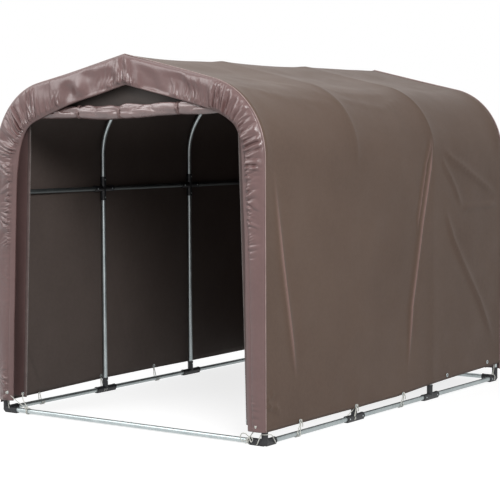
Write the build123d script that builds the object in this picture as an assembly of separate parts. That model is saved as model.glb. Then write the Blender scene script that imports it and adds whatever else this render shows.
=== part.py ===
from build123d import *
import math
import os

os.makedirs("parts", exist_ok=True)

# Driving sizes of the pipe frame, in millimetres and degrees
frame_width = 1490.0
bay_length = 720.0
bay_count = 3
ridge_height = 1643.5
roof_pitch = 13.3
bend_radius = 324.0
rail_below_bend = 171.0
ridge_rail_drop = 8.0

# Pipes
pipe_diameter = 22.2
pipe_wall = 1.2
splice_length = 160.0
splice_wall = 1.5

# Moulded joints: sleeves round the pipe ends
sleeve_wall = 3.0
socket_play = 0.3
lip_height = 1.0
lip_length = 6.0
knuckle_swell = 0.6
pipe_stop = 20.0
rail_reach = 72.0
leg_reach = 59.0
riser_reach = 55.0
roof_reach = 64.0
foot_width = 20.0
foot_height = 0.6

# Sheets
seat_gap = 0.3
cover_thickness = 2.5
curtain_thickness = 2.5
curtain_edge_gap = 2.2
band_thickness = 12.0
band_edge_radius = 9.0
band_foot_height = 62.0
casing_radius = 7.5
ridge_sags = (12.0, 12.0, 5.0)
hem_heights_left = (47.0, 66.0, 68.0, 72.0)
hem_heights_right = (62.0, 62.0, 78.0, 93.0)

# Opening inside each gathered band: half-widths at the foot and the eaves, and drops from the ridge
opening_foot_left = 684.0
opening_foot_right = 646.0
opening_eave_left = 622.0
opening_eave_right = 620.0
opening_eave_drop_left = 297.5
opening_eave_drop_right = 267.5
opening_apex_drop = 115.5
opening_corner_radius = 85.0
opening_apex_radius = 60.0

# Door curtain behind the front arch
curtain_setback = 26.0
door_half_width = 606.0
curtain_foot_height = 76.0
roll_height = 60.0
roll_depth = 36.0
roll_half_length = 525.0
roll_drop = 231.5
roll_rise = 10.0
roll_taper = 0.6
strap_width = 25.0
strap_thickness = 1.6
strap_places = (-267.0, -26.0, 299.0)

# Worked-out sizes
pipe_radius = pipe_diameter / 2
socket_radius = pipe_radius + socket_play
sleeve_radius = socket_radius + sleeve_wall
lip_radius = sleeve_radius + lip_height
sill_height = lip_radius + foot_height
half_width = frame_width / 2
frame_length = bay_length * bay_count
front_y = -frame_length / 2
arch_places = [front_y + bay_length * number for number in range(bay_count + 1)]
pitch = math.radians(roof_pitch)
cover_offset = lip_radius + seat_gap
end_overhang = lip_radius + seat_gap
roll_axis_height = ridge_height - roll_drop
opening_apex_height = ridge_height - opening_apex_drop


def spring_height(width, ridge, radius):
    """Height at which a straight side starts to bend towards the ridge."""
    return ridge - math.tan(pitch) * (width - radius) - radius / math.cos(pitch)


wall_rail_height = spring_height(half_width, ridge_height, bend_radius) - rail_below_bend


def gable_edges(width, ridge, radius, foot_left, foot_right):
    """Edges up the right side, over the ridge and down the left side."""
    spring = spring_height(width, ridge, radius)
    turn = 90.0 - roof_pitch
    right_side = Line((width, foot_right), (width, spring))
    right_bend = JernArc((width, spring), (0, 1), radius, turn)
    right_slope = Line(right_bend @ 1, (0, ridge))
    left_side = Line((-width, spring), (-width, foot_left))
    left_bend = JernArc((-width, spring), (0, 1), radius, -turn)
    left_slope = Line((0, ridge), left_bend @ 1)
    return [right_side, right_bend, right_slope, left_slope, left_bend, left_side]


def gable_face(offset, foot):
    """The whole gable outline at a distance outside the arch axis, closed along its foot."""
    ridge = ridge_height + offset / math.cos(pitch)
    edges = gable_edges(half_width + offset, ridge, bend_radius + offset, foot, foot)
    width = half_width + offset
    return make_face(edges + [Line((-width, foot), (width, foot))])


def cover_section(y, sag, hem_left, hem_right):
    """A cut across the top sheet at one place along the ridge."""
    ridge = ridge_height + cover_offset / math.cos(pitch) - sag
    width = half_width + cover_offset
    radius = bend_radius + cover_offset
    inner = gable_edges(width, ridge, radius, hem_left, hem_right)
    outer_width = width + cover_thickness
    outer_ridge = ridge + cover_thickness / math.cos(pitch)
    outer_radius = radius + cover_thickness
    outer = gable_edges(outer_width, outer_ridge, outer_radius, hem_left, hem_right)
    right_hem = Line((width, hem_right), (outer_width, hem_right))
    left_hem = Line((-width, hem_left), (-outer_width, hem_left))
    return across(y) * make_face(inner + outer + [right_hem, left_hem])


def across(y):
    """The upright plane across the shelter at a place along it, facing the front."""
    return Plane(origin=(0, y, 0), x_dir=(1, 0, 0), z_dir=(0, -1, 0))


def tube(start, end):
    """A straight pipe between two points."""
    run = Vector(*end) - Vector(*start)
    place = Plane(origin=start, z_dir=run)
    ring = Circle(pipe_radius) - Circle(pipe_radius - pipe_wall)
    return extrude(place * ring, run.length)


def roof_pipe(y):
    """The bent pipe from the right wall joint to the ridge joint."""
    spring = spring_height(half_width, ridge_height, bend_radius)
    end_x = pipe_stop * math.cos(pitch)
    end_z = ridge_height - pipe_stop * math.sin(pitch)
    rise = Line((half_width, wall_rail_height + pipe_stop), (half_width, spring))
    bend = JernArc((half_width, spring), (0, 1), bend_radius, 90.0 - roof_pitch)
    slope = Line(bend @ 1, (end_x, end_z))
    path = across(y) * Wire([rise, bend, slope])
    start = Plane(origin=path @ 0, z_dir=path % 0)
    return sweep(start * (Circle(pipe_radius) - Circle(pipe_radius - pipe_wall)), path)


def moulded_joint(centre, arms, foot_arms=()):
    """A pipe joint: a sleeve with a lip for each arm, round a solid middle.

    Each arm is a direction, a reach from the centre and a drop of its axis below the centre.
    """
    body = Pos(*centre) * Sphere(sleeve_radius + knuckle_swell)
    for direction, reach, drop in arms:
        place = Plane(origin=Vector(*centre) - Vector(0, 0, drop), z_dir=direction)
        lip = Plane(place.from_local_coords((0, 0, reach - lip_length)), z_dir=direction)
        body += place * Cylinder(sleeve_radius, reach, align=(Align.CENTER, Align.CENTER, Align.MIN))
        body += lip * Cylinder(lip_radius, lip_length, align=(Align.CENTER, Align.CENTER, Align.MIN))
    for direction, reach in foot_arms:
        middle = Vector(centre[0], centre[1], 0) + Vector(*direction) * (reach / 2)
        size_x = foot_width + abs(direction[0]) * (reach - foot_width)
        size_y = foot_width + abs(direction[1]) * (reach - foot_width)
        foot = Box(size_x, size_y, sill_height, align=(Align.CENTER, Align.CENTER, Align.MIN))
        body += Pos(middle.X, middle.Y, 0) * foot
    for direction, reach, drop in arms:
        place = Plane(origin=Vector(*centre) - Vector(0, 0, drop), z_dir=direction)
        mouth = Plane(place.from_local_coords((0, 0, pipe_stop)), z_dir=direction)
        depth = reach - pipe_stop
        body -= mouth * Cylinder(socket_radius, depth, align=(Align.CENTER, Align.CENTER, Align.MIN))
    return body


def rail_arms(number, drop=0.0):
    """The sleeves along the shelter: one at an end arch and two at a middle arch."""
    arms = []
    if number > 0:
        arms.append(((0, -1, 0), rail_reach, drop))
    if number < bay_count:
        arms.append(((0, 1, 0), rail_reach, drop))
    return arms


def corner_joint(side, number):
    """The ground joint of a leg, a side sill and an end sill."""
    centre = (side * half_width, arch_places[number], sill_height)
    along = rail_arms(number)
    inward = (-side, 0, 0)
    arms = along + [(inward, rail_reach, 0.0), ((0, 0, 1), riser_reach, 0.0)]
    feet = [(along[0][0], rail_reach), (inward, rail_reach)]
    return moulded_joint(centre, arms, feet)


def base_joint(side, number):
    """The ground joint of a middle leg and two side sills."""
    centre = (side * half_width, arch_places[number], sill_height)
    along = rail_arms(number)
    feet = [(direction, reach) for direction, reach, drop in along]
    return moulded_joint(centre, along + [((0, 0, 1), riser_reach, 0.0)], feet)


def wall_joint(side, number):
    """The joint of a leg, a roof pipe and the wall rails."""
    centre = (side * half_width, arch_places[number], wall_rail_height)
    arms = rail_arms(number) + [((0, 0, 1), leg_reach, 0.0), ((0, 0, -1), leg_reach, 0.0)]
    return moulded_joint(centre, arms)


def ridge_joint(number):
    """The joint of two roof pipes and the ridge rails."""
    centre = (0, arch_places[number], ridge_height)
    slope_right = (math.cos(pitch), 0, -math.sin(pitch))
    slope_left = (-math.cos(pitch), 0, -math.sin(pitch))
    arms = [(slope_right, roof_reach, 0.0), (slope_left, roof_reach, 0.0)]
    return moulded_joint(centre, arms + rail_arms(number, ridge_rail_drop))


def rails(x, z):
    """The pipes between the arches, one in each bay."""
    pipes = []
    for number in range(bay_count):
        start = (x, arch_places[number] + pipe_stop, z)
        end = (x, arch_places[number + 1] - pipe_stop, z)
        pipes.append(tube(start, end))
    return pipes


def cover_sheet():
    """The top sheet: one cloth over the roof and both sides, sagging between the arches."""
    sheet = None
    for number in range(bay_count):
        hems = [(hem_heights_left[end], hem_heights_right[end]) for end in (number, number + 1)]
        middle_hems = [sum(pair) / 2 for pair in zip(*hems)]
        middle_y = (arch_places[number] + arch_places[number + 1]) / 2
        near = cover_section(arch_places[number], 0, *hems[0])
        middle = cover_section(middle_y, ridge_sags[number], *middle_hems)
        far = cover_section(arch_places[number + 1], 0, *hems[1])
        bay = loft([near, middle, far])
        sheet = bay if sheet is None else sheet + bay
    front = cover_section(arch_places[0], 0, hem_heights_left[0], hem_heights_right[0])
    rear = cover_section(arch_places[-1], 0, hem_heights_left[-1], hem_heights_right[-1])
    sheet += extrude(front, end_overhang)
    sheet += extrude(rear, -end_overhang)
    return sheet


def opening_line():
    """The drawn-in edge of a gathered band, up the right side, over and down the left."""
    below = band_foot_height - opening_corner_radius
    return FilletPolyline(
        (opening_foot_right, below),
        (opening_eave_right, ridge_height - opening_eave_drop_right),
        (0, opening_apex_height),
        (-opening_eave_left, ridge_height - opening_eave_drop_left),
        (-opening_foot_left, below),
        radius=[opening_corner_radius, opening_apex_radius, opening_corner_radius],
    )


def gathered_band():
    """The end of the top sheet, turned round the front arch and drawn in by the cord in its hem."""
    back = across(arch_places[0] - end_overhang)
    turned = extrude(back * gable_face(cover_offset + cover_thickness, band_foot_height), band_thickness)
    front_edges = turned.faces().sort_by(Axis.Y)[0].edges().sort_by(Axis.Z)[1:]
    turned = fillet(front_edges, band_edge_radius)
    line = opening_line()
    opening = make_face(line.edges() + [Line(line @ 1, line @ 0)])
    band = turned - extrude(back * opening, band_thickness)
    path = across(arch_places[0] - end_overhang - casing_radius - seat_gap) * line
    casing = sweep(Plane(origin=path @ 0, z_dir=path % 0) * Circle(casing_radius), path)
    casing = split(casing, bisect_by=Plane.XY.offset(band_foot_height), keep=Keep.TOP)
    return band + casing


def rail_clearance(x, z, y):
    """A round notch through a curtain where a rail sleeve passes."""
    notch = Circle(sleeve_radius + seat_gap)
    return extrude(across(y) * (Pos(x, z) * notch), curtain_thickness, both=True)


def curtain_notches(y):
    """The notches for both wall sleeves and the ridge sleeve."""
    return [
        rail_clearance(half_width, wall_rail_height, y),
        rail_clearance(-half_width, wall_rail_height, y),
        rail_clearance(0, ridge_height - ridge_rail_drop, y),
    ]


def curtain_plate(face, y):
    """A flat stretch of curtain, centred on its plane, with its notches."""
    plate = extrude(across(y) * face, curtain_thickness / 2, both=True)
    for notch in curtain_notches(y):
        plate -= notch
    return plate


def side_strip(side):
    """The side strip of the door curtain, from the cover in to the zip."""
    strip = gable_face(cover_offset - curtain_edge_gap, curtain_foot_height)
    outer = half_width + cover_offset
    height = roll_axis_height - curtain_foot_height
    keep = Pos(side * (door_half_width + outer) / 2, curtain_foot_height + height / 2)
    return strip & (keep * Rectangle(outer - door_half_width, height))


def above_door():
    """The gable of the door curtain, above the strips and the roll."""
    gable = gable_face(cover_offset - curtain_edge_gap, curtain_foot_height)
    height = ridge_height + cover_offset * 2 - roll_axis_height
    return gable & (Pos(0, roll_axis_height + height / 2) * Rectangle(frame_width * 2, height))


def roll_section(x, y, growth=0.0):
    """The rolled door cut across at one place: fullest in the middle, thin at its ends."""
    share = x / roll_half_length
    fullness = 1 - roll_taper * share ** 4
    centre_height = roll_axis_height + roll_rise * share
    place = Plane(origin=(x, y, centre_height), x_dir=(0, 1, 0), z_dir=(1, 0, 0))
    return place * Ellipse(roll_depth / 2 * fullness + growth, roll_height / 2 * fullness + growth)


def rolled_door(y):
    """The door cloth, rolled up and tied under the gable."""
    shares = [number / 5 for number in range(-5, 6)]
    return loft([roll_section(share * roll_half_length, y) for share in shares], ruled=True)


def strap(x, y):
    """A flat band round the rolled door."""
    ring = roll_section(x, y, seat_gap + strap_thickness) - roll_section(x, y, seat_gap)
    return extrude(ring, strap_width / 2, both=True)


parts = {}

# Ground joints
parts["corner_joint_front_left"] = corner_joint(-1, 0)
parts["corner_joint_front_right"] = corner_joint(1, 0)
parts["corner_joint_rear_left"] = corner_joint(-1, bay_count)
parts["corner_joint_rear_right"] = corner_joint(1, bay_count)
middle_arches = range(1, bay_count)
parts["base_joints_left"] = Compound([base_joint(-1, number) for number in middle_arches])
parts["base_joints_right"] = Compound([base_joint(1, number) for number in middle_arches])

# Sills
sill_end = half_width - pipe_stop
for name, y in (("front", arch_places[0]), ("rear", arch_places[-1])):
    parts[name + "_sill_left"] = tube((-sill_end, y, sill_height), (0, y, sill_height))
    parts[name + "_sill_right"] = tube((0, y, sill_height), (sill_end, y, sill_height))
splice_radius = pipe_radius - pipe_wall - socket_play
splices = []
for y in (arch_places[0], arch_places[-1]):
    ring = Circle(splice_radius) - Circle(splice_radius - splice_wall)
    middle = Plane(origin=(0, y, sill_height), z_dir=(1, 0, 0))
    splices.append(extrude(middle * ring, splice_length / 2, both=True))
parts["sill_splices"] = Compound(splices)
parts["side_sills_left"] = Compound(rails(-half_width, sill_height))
parts["side_sills_right"] = Compound(rails(half_width, sill_height))

# Arches: a leg and a bent roof pipe on each side
for number, y in enumerate(arch_places):
    for name, side in (("left", -1), ("right", 1)):
        foot = (side * half_width, y, sill_height + pipe_stop)
        head = (side * half_width, y, wall_rail_height - pipe_stop)
        parts[f"leg_{name}_{number + 1}"] = tube(foot, head)
    bent = roof_pipe(y)
    parts[f"roof_pipe_right_{number + 1}"] = bent
    parts[f"roof_pipe_left_{number + 1}"] = mirror(bent, about=Plane.YZ)

# Joints and rails above the ground
every_arch = range(bay_count + 1)
parts["wall_joints_left"] = Compound([wall_joint(-1, number) for number in every_arch])
parts["wall_joints_right"] = Compound([wall_joint(1, number) for number in every_arch])
parts["ridge_joints"] = Compound([ridge_joint(number) for number in every_arch])
parts["wall_rails_left"] = Compound(rails(-half_width, wall_rail_height))
parts["wall_rails_right"] = Compound(rails(half_width, wall_rail_height))
parts["ridge_rails"] = Compound(rails(0, ridge_height - ridge_rail_drop))

# Sheets
parts["cover_sheet"] = cover_sheet()
parts["front_band"] = gathered_band()
parts["rear_band"] = mirror(parts["front_band"], about=Plane.XZ)
rear_face = gable_face(cover_offset - curtain_edge_gap, curtain_foot_height)
parts["rear_sheet"] = curtain_plate(rear_face, arch_places[-1] - curtain_setback)
curtain_y = arch_places[0] + curtain_setback
parts["curtain_gable"] = curtain_plate(above_door(), curtain_y)
parts["curtain_strip_left"] = curtain_plate(side_strip(-1), curtain_y)
parts["curtain_strip_right"] = curtain_plate(side_strip(1), curtain_y)

# Rolled door and its straps, in front of the curtain
roll_back = curtain_y - curtain_thickness / 2 - seat_gap - strap_thickness - seat_gap
roll_y = roll_back - roll_depth / 2
parts["curtain_roll"] = rolled_door(roll_y)
parts["roll_straps"] = Compound([strap(x, roll_y) for x in strap_places])

for name, part in parts.items():
    export_step(part, f"parts/{name}.step")
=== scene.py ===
import math

import bpy
import numpy as np
from mathutils import Matrix, Vector


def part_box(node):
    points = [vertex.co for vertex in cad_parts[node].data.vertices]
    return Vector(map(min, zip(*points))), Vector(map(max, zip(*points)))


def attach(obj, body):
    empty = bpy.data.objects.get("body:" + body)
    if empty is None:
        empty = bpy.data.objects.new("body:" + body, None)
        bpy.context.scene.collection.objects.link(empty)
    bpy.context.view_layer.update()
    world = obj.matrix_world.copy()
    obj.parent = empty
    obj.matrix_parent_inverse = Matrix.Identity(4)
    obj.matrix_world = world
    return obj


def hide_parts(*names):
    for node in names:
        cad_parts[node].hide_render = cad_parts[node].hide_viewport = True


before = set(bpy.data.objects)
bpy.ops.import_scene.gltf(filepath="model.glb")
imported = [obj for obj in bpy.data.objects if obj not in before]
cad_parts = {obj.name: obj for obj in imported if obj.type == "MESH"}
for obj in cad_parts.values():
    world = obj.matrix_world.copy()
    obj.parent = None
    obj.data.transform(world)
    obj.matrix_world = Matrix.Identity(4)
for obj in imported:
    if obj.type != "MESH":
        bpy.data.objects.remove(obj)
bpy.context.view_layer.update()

# Sizes read from the frame, in metres

def middle(name, axis):
    """Middle of a frame node's box along one axis."""
    low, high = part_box(name)
    return (getattr(low, axis) + getattr(high, axis)) / 2


def half_width(name):
    """Half of a frame node's size from left to right."""
    low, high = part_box(name)
    return (high.x - low.x) / 2


pipe_radius = half_width("leg_right_1")
joint_radius = half_width("wall_joints_right")
leg_x = middle("leg_right_1", "x")
arch_ys = [middle(f"leg_right_{number}", "y") for number in range(1, 5)]
front_y, rear_y = arch_ys[0], arch_ys[-1]
sill_z = middle("front_sill_left", "z")
rail_z = middle("wall_rails_right", "z")
curtain_y = middle("curtain_strip_left", "y")
rear_sheet_y = middle("rear_sheet", "y")
roll_y, roll_z = middle("curtain_roll", "y"), middle("curtain_roll", "z")
roll_half_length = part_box("curtain_roll")[1].x
cover_low, cover_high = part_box("cover_sheet")
wall_x, ridge_z = cover_high.x, cover_high.z
band_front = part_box("front_band")[0].y

# Shape of the cloth's gable line
roof_pitch = math.radians(13.3)
bend_radius = 0.3422
cloth_thickness = 0.0012

slope_length = (wall_x - bend_radius + bend_radius * math.sin(roof_pitch)) / math.cos(roof_pitch)
bend_length = bend_radius * (math.pi / 2 - roof_pitch)
bend_x = wall_x - bend_radius
bend_z = ridge_z - math.tan(roof_pitch) * bend_x - bend_radius / math.cos(roof_pitch)
wall_start = slope_length + bend_length


def gable_line(s):
    """Points and outward normals of the gable line at distances s from the ridge, right side positive."""
    side = np.where(s < 0, -1.0, 1.0)
    a = np.abs(s)
    angle = roof_pitch + np.clip((a - slope_length) / bend_radius, 0, math.pi / 2 - roof_pitch)
    on_slope = np.minimum(a, slope_length)
    down = np.maximum(a - wall_start, 0)
    x = np.where(a < slope_length, on_slope * math.cos(roof_pitch), bend_x + bend_radius * np.sin(angle))
    z_roof = ridge_z - on_slope * math.sin(roof_pitch)
    z_bend = bend_z + bend_radius * np.cos(angle)
    z = np.where(a < slope_length, z_roof, z_bend) - down
    return np.stack([side * x, z], -1), np.stack([side * np.sin(angle), np.cos(angle)], -1)


# Smooth noise

class SmoothNoise:
    """Value noise over a plane, from a seeded lattice that repeats after its own size."""

    def __init__(self, seed, size=64, around=None):
        self.size, self.around = size, around or size
        self.lattice = np.random.default_rng(seed).uniform(-1, 1, (self.around, size))

    def __call__(self, u, v):
        iu, iv = np.floor(u).astype(int), np.floor(v).astype(int)
        fu, fv = u - iu, v - iv
        fu, fv = fu * fu * (3 - 2 * fu), fv * fv * (3 - 2 * fv)
        m, n = self.around, self.size
        a = self.lattice[iu % m, iv % n]
        b = self.lattice[(iu + 1) % m, iv % n]
        c = self.lattice[iu % m, (iv + 1) % n]
        d = self.lattice[(iu + 1) % m, (iv + 1) % n]
        return (a * (1 - fu) + b * fu) * (1 - fv) + (c * (1 - fu) + d * fu) * fv


def smooth_step(low, high, value):
    t = np.clip((value - low) / (high - low), 0, 1)
    return t * t * (3 - 2 * t)


def bell(value, centre, width):
    """A smooth bump of height 1."""
    return np.exp(-(((value - centre) / width) ** 2))


def distance_to_line(u, v, points):
    """Distance from each point to a bent line, and how far along the line its nearest point is, 0 to 1."""
    best = np.full(np.shape(u), 1e9)
    share = np.zeros(np.shape(u))
    lengths = [math.dist(points[k], points[k + 1]) for k in range(len(points) - 1)]
    total = sum(lengths)
    start = 0.0
    for (u0, v0), (u1, v1), length in zip(points, points[1:], lengths):
        t = np.clip(((u - u0) * (u1 - u0) + (v - v0) * (v1 - v0)) / length ** 2, 0, 1)
        d = np.hypot(u - u0 - t * (u1 - u0), v - v0 - t * (v1 - v0))
        nearer = d < best
        best = np.where(nearer, d, best)
        share = np.where(nearer, (start + t * length) / total, share)
        start += length
    return best, share


def crease(u, v, points, height, width, start_fade=0.15, end_fade=0.25):
    """A sharp fold line in cloth, highest in its middle and gone at its ends."""
    d, share = distance_to_line(u, v, points)
    ends = smooth_step(0, start_fade, share) * smooth_step(0, end_fade, 1 - share)
    return height * ends * (np.exp(-d / width) - 0.35 * bell(d, 0, 3 * width))


def all_creases(u, v, creases):
    """Several creases added up, each given by its points, height, width and perhaps its fades."""
    total = np.zeros(np.shape(u))
    for points, height, width, *fades in creases:
        total = total + crease(u, v, points, height, width, *fades)
    return total


def rounded(points, step=0.0015):
    """A smooth path through a few points."""
    points = np.array(points, float)
    padded = np.concatenate([[2 * points[0] - points[1]], points, [2 * points[-1] - points[-2]]])
    path = []
    for k in range(1, len(padded) - 2):
        before, here, there, after = padded[k - 1:k + 3]
        count = max(2, int(np.linalg.norm(there - here) / step))
        for t in np.linspace(0, 1, count, endpoint=False):
            path.append(0.5 * (
                2 * here + (there - before) * t + (2 * before - 5 * here + 4 * there - after) * t ** 2
                + (3 * here - before - 3 * there + after) * t ** 3
            ))
    path.append(points[-1])
    return path


# Meshes

def shaded_mesh(name, vertices, faces):
    """A mesh whose four-sided faces are shaded smooth."""
    mesh = bpy.data.meshes.new(name)
    mesh.from_pydata(vertices, [], faces)
    mesh.update()
    for polygon in mesh.polygons:
        polygon.use_smooth = len(polygon.vertices) == 4
    return mesh


def grid_mesh(name, points, closed_u=False, flip=False):
    """A mesh of quads through an array of rows of points."""
    rows, columns, _ = points.shape
    faces = []
    for i in range(rows if closed_u else rows - 1):
        for j in range(columns - 1):
            a, b = i * columns + j, ((i + 1) % rows) * columns + j
            face = (a, b, b + 1, a + 1)
            faces.append(face[::-1] if flip else face)
    return shaded_mesh(name, points.reshape(-1, 3).tolist(), faces)


def add_object(name, data):
    """A new object at the scene's origin."""
    made = bpy.data.objects.new(name, data)
    bpy.context.scene.collection.objects.link(made)
    return made


def new_piece(name, mesh, material=None, replaces=()):
    """A piece of the shelter that rides on its one body."""
    piece = add_object(name, mesh)
    if material is not None:
        piece.data.materials.clear()
        piece.data.materials.append(material)
    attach(piece, "root")
    if replaces:
        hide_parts(*replaces)
    return piece


def add_thickness(piece, thickness, offset=-1.0, lining=None):
    """Gives a sheet its thickness, with another finish on its inner face where it has a lining."""
    solid = piece.modifiers.new("thickness", "SOLIDIFY")
    if lining is not None:
        piece.data.materials.append(lining)
        solid.material_offset = 1
    solid.thickness = thickness
    solid.offset = offset
    solid.use_rim = True


# Materials

def shader(name):
    """A new node material: its tree, its main shader and the object's own coordinates."""
    material = bpy.data.materials.new(name)
    material.use_nodes = True
    tree = material.node_tree
    tree.nodes.clear()
    output = tree.nodes.new("ShaderNodeOutputMaterial")
    surface = tree.nodes.new("ShaderNodeBsdfPrincipled")
    tree.links.new(surface.outputs["BSDF"], output.inputs["Surface"])
    place = tree.nodes.new("ShaderNodeTexCoord")
    return material, tree, surface, place.outputs["Object"]


def node(tree, kind, inputs=None, **settings):
    """A new node, with each input linked to another node's output or set to a value."""
    made = tree.nodes.new(kind)
    for key, value in settings.items():
        setattr(made, key, value)
    for key, value in (inputs or {}).items():
        if isinstance(value, bpy.types.NodeSocket):
            tree.links.new(value, made.inputs[key])
        else:
            made.inputs[key].default_value = value
    return made


def linear(red, green, blue):
    """A colour given as it looks on a screen, 0 to 255, as the renderer's linear values."""
    values = []
    for c in (red, green, blue):
        c = c / 255
        values.append(c / 12.92 if c <= 0.04045 else ((c + 0.055) / 1.055) ** 2.4)
    return (*values, 1.0)


def noise(tree, place, scale, detail=3.0, roughness=0.55):
    inputs = {"Vector": place, "Scale": scale, "Detail": detail, "Roughness": roughness}
    return node(tree, "ShaderNodeTexNoise", inputs).outputs["Fac"]


def ramp(tree, value, stops):
    """A colour ramp between stops of (place, colour)."""
    made = node(tree, "ShaderNodeValToRGB", {"Fac": value})
    elements = made.color_ramp.elements
    while len(elements) < len(stops):
        elements.new(0.5)
    for element, (place, colour) in zip(elements, stops):
        element.position = place
        element.color = colour
    return made.outputs["Color"]


def maths(tree, operation, a, b=0.0):
    return node(tree, "ShaderNodeMath", {0: a, 1: b}, operation=operation).outputs[0]


def bump(tree, height, strength, distance, under=None):
    inputs = {"Height": height, "Strength": strength, "Distance": distance}
    if under is not None:
        inputs["Normal"] = under
    return node(tree, "ShaderNodeBump", inputs).outputs["Normal"]


def weave(tree, place, threads_per_metre):
    """Height of a plain weave, from crossed waves."""
    waves = []
    for direction in ("X", "Y", "Z"):
        inputs = {"Vector": place, "Scale": threads_per_metre / 2, "Distortion": 0.0}
        made = node(tree, "ShaderNodeTexWave", inputs, bands_direction=direction, wave_type="BANDS")
        waves.append(made.outputs["Fac"])
    return maths(tree, "MAXIMUM", maths(tree, "MULTIPLY", waves[0], waves[2]), waves[1])


def coated_cloth(name, dark, light, rough, gloss, weave_strength=0.10):
    """Coated woven cloth: uneven colour between two screen colours, a fine weave and a light crumple."""
    material, tree, surface, place = shader(name)
    broad = noise(tree, place, 2.2, 4.0, 0.6)
    fine = noise(tree, place, 60.0, 3.0, 0.6)
    mixed = maths(tree, "ADD", maths(tree, "MULTIPLY", broad, 0.7), maths(tree, "MULTIPLY", fine, 0.3))
    colour = ramp(tree, mixed, [(0.3, linear(*dark)), (0.7, linear(*light))])
    tree.links.new(colour, surface.inputs["Base Color"])
    rough_low = maths(tree, "MULTIPLY", noise(tree, place, 7.0, 4.0), 0.16)
    tree.links.new(maths(tree, "ADD", rough_low, rough - 0.08), surface.inputs["Roughness"])
    crumple = noise(tree, place, 38.0, 5.0, 0.62)
    soft = bump(tree, crumple, 0.15, 0.003)
    threads = bump(tree, weave(tree, place, 900.0), weave_strength, 0.0004, soft)
    tree.links.new(threads, surface.inputs["Normal"])
    surface.inputs["Specular IOR Level"].default_value = gloss
    return material


zinc_shades = ((0.2, (150, 160, 162)), (0.5, (182, 191, 192)), (0.85, (206, 213, 213)))


def galvanised(name, shade=1.0, rough=0.26):
    """Zinc-coated pipe: grey spangle with duller and brighter places."""
    material, tree, surface, place = shader(name)
    spangle = node(tree, "ShaderNodeTexVoronoi", {"Vector": place, "Scale": 220.0}).outputs["Distance"]
    cloudy = noise(tree, place, 14.0, 5.0, 0.6)
    mixed = maths(tree, "ADD", maths(tree, "MULTIPLY", spangle, 0.35), maths(tree, "MULTIPLY", cloudy, 0.65))
    stops = [(stop, linear(*(channel * shade for channel in colour))) for stop, colour in zinc_shades]
    tree.links.new(ramp(tree, mixed, stops), surface.inputs["Base Color"])
    dull_places = maths(tree, "MULTIPLY", cloudy, 0.25)
    tree.links.new(maths(tree, "ADD", dull_places, rough), surface.inputs["Roughness"])
    tree.links.new(bump(tree, spangle, 0.08, 0.0006), surface.inputs["Normal"])
    surface.inputs["Metallic"].default_value = 0.9
    return material


def moulded_plastic(name, dark, light, rough):
    """Moulded plastic with a fine grain and dust, between two screen colours."""
    material, tree, surface, place = shader(name)
    dust = noise(tree, place, 24.0, 5.0, 0.6)
    colour = ramp(tree, dust, [(0.35, linear(*dark)), (0.75, linear(*light))])
    tree.links.new(colour, surface.inputs["Base Color"])
    grain = noise(tree, place, 900.0, 2.0, 0.5)
    tree.links.new(bump(tree, grain, 0.2, 0.0004), surface.inputs["Normal"])
    spread = maths(tree, "ADD", maths(tree, "MULTIPLY", dust, 0.2), rough - 0.1)
    tree.links.new(spread, surface.inputs["Roughness"])
    return material


def paint_crease_sheen(material, colour):
    """Paints a highlight along a coated cloth's creases, by the mesh's own values: painted sheen, a lighter
    colour mixed into the cloth's own.
    """
    tree = material.node_tree
    surface = next(each for each in tree.nodes if each.type == "BSDF_PRINCIPLED")
    plain = surface.inputs["Base Color"].links[0].from_socket
    painted_sheen = node(tree, "ShaderNodeAttribute", attribute_name="painted_sheen")
    mixed = node(tree, "ShaderNodeMixRGB", {"Fac": painted_sheen.outputs["Fac"], "Color1": plain, "Color2": colour})
    tree.links.new(mixed.outputs["Color"], surface.inputs["Base Color"])


cover_cloth = coated_cloth("cover_cloth", (94, 77, 67), (106, 88, 77), 0.46, 0.13)
# Painted highlight: the cover cloth turns lighter along its steep creases, where they catch the light.
paint_crease_sheen(cover_cloth, linear(156, 128, 122))
cover_lining = coated_cloth("cover_lining", (86, 76, 72), (100, 89, 84), 0.6, 0.2)
band_cloth = coated_cloth("band_cloth", (100, 74, 72), (116, 88, 86), 0.33, 0.7, 0.06)
# Painted light: the door roll is a lighter copy of the curtain cloth, for the light falling on its top.
lit_roll_cloth = coated_cloth("lit_roll_cloth", (116, 94, 92), (138, 114, 112), 0.27, 0.9, 0.06)
# Painted shade: the gable curtain is a darker copy of the curtain cloth, for the shade under the front band.
shaded_gable_cloth = coated_cloth("shaded_gable_cloth", (58, 51, 48), (72, 64, 60), 0.5, 0.3)
curtain_cloth = coated_cloth("curtain_cloth", (102, 79, 77), (118, 94, 92), 0.34, 0.5, 0.06)
galvanised_pipe = galvanised("galvanised_pipe")
# A darker, rougher copy of the zinc pipe, for the wall rails.
darker_rail_pipe = galvanised("darker_rail_pipe", 0.55, 0.42)
black_joint = moulded_plastic("black_joint", (24, 25, 28), (44, 45, 48), 0.5)
white_cord = moulded_plastic("white_cord", (206, 206, 198), (232, 232, 226), 0.6)
strap_web = coated_cloth("strap_web", (112, 90, 88), (130, 107, 104), 0.45, 0.4, 0.3)
bright_metal = galvanised("bright_metal")
# A slightly darker copy of the zinc pipe, for the side sills.
darker_sill_pipe = galvanised("darker_sill_pipe", 0.92, 0.30)
thread = moulded_plastic("thread", (82, 62, 57), (104, 80, 74), 0.7)
zip_plastic = moulded_plastic("zip_plastic", (132, 124, 121), (158, 150, 147), 0.45)
zip_tape = moulded_plastic("zip_tape", (96, 80, 78), (112, 96, 93), 0.8)
piping_cloth = moulded_plastic("piping_cloth", (150, 128, 125), (172, 150, 146), 0.45)

# Top sheet

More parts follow.
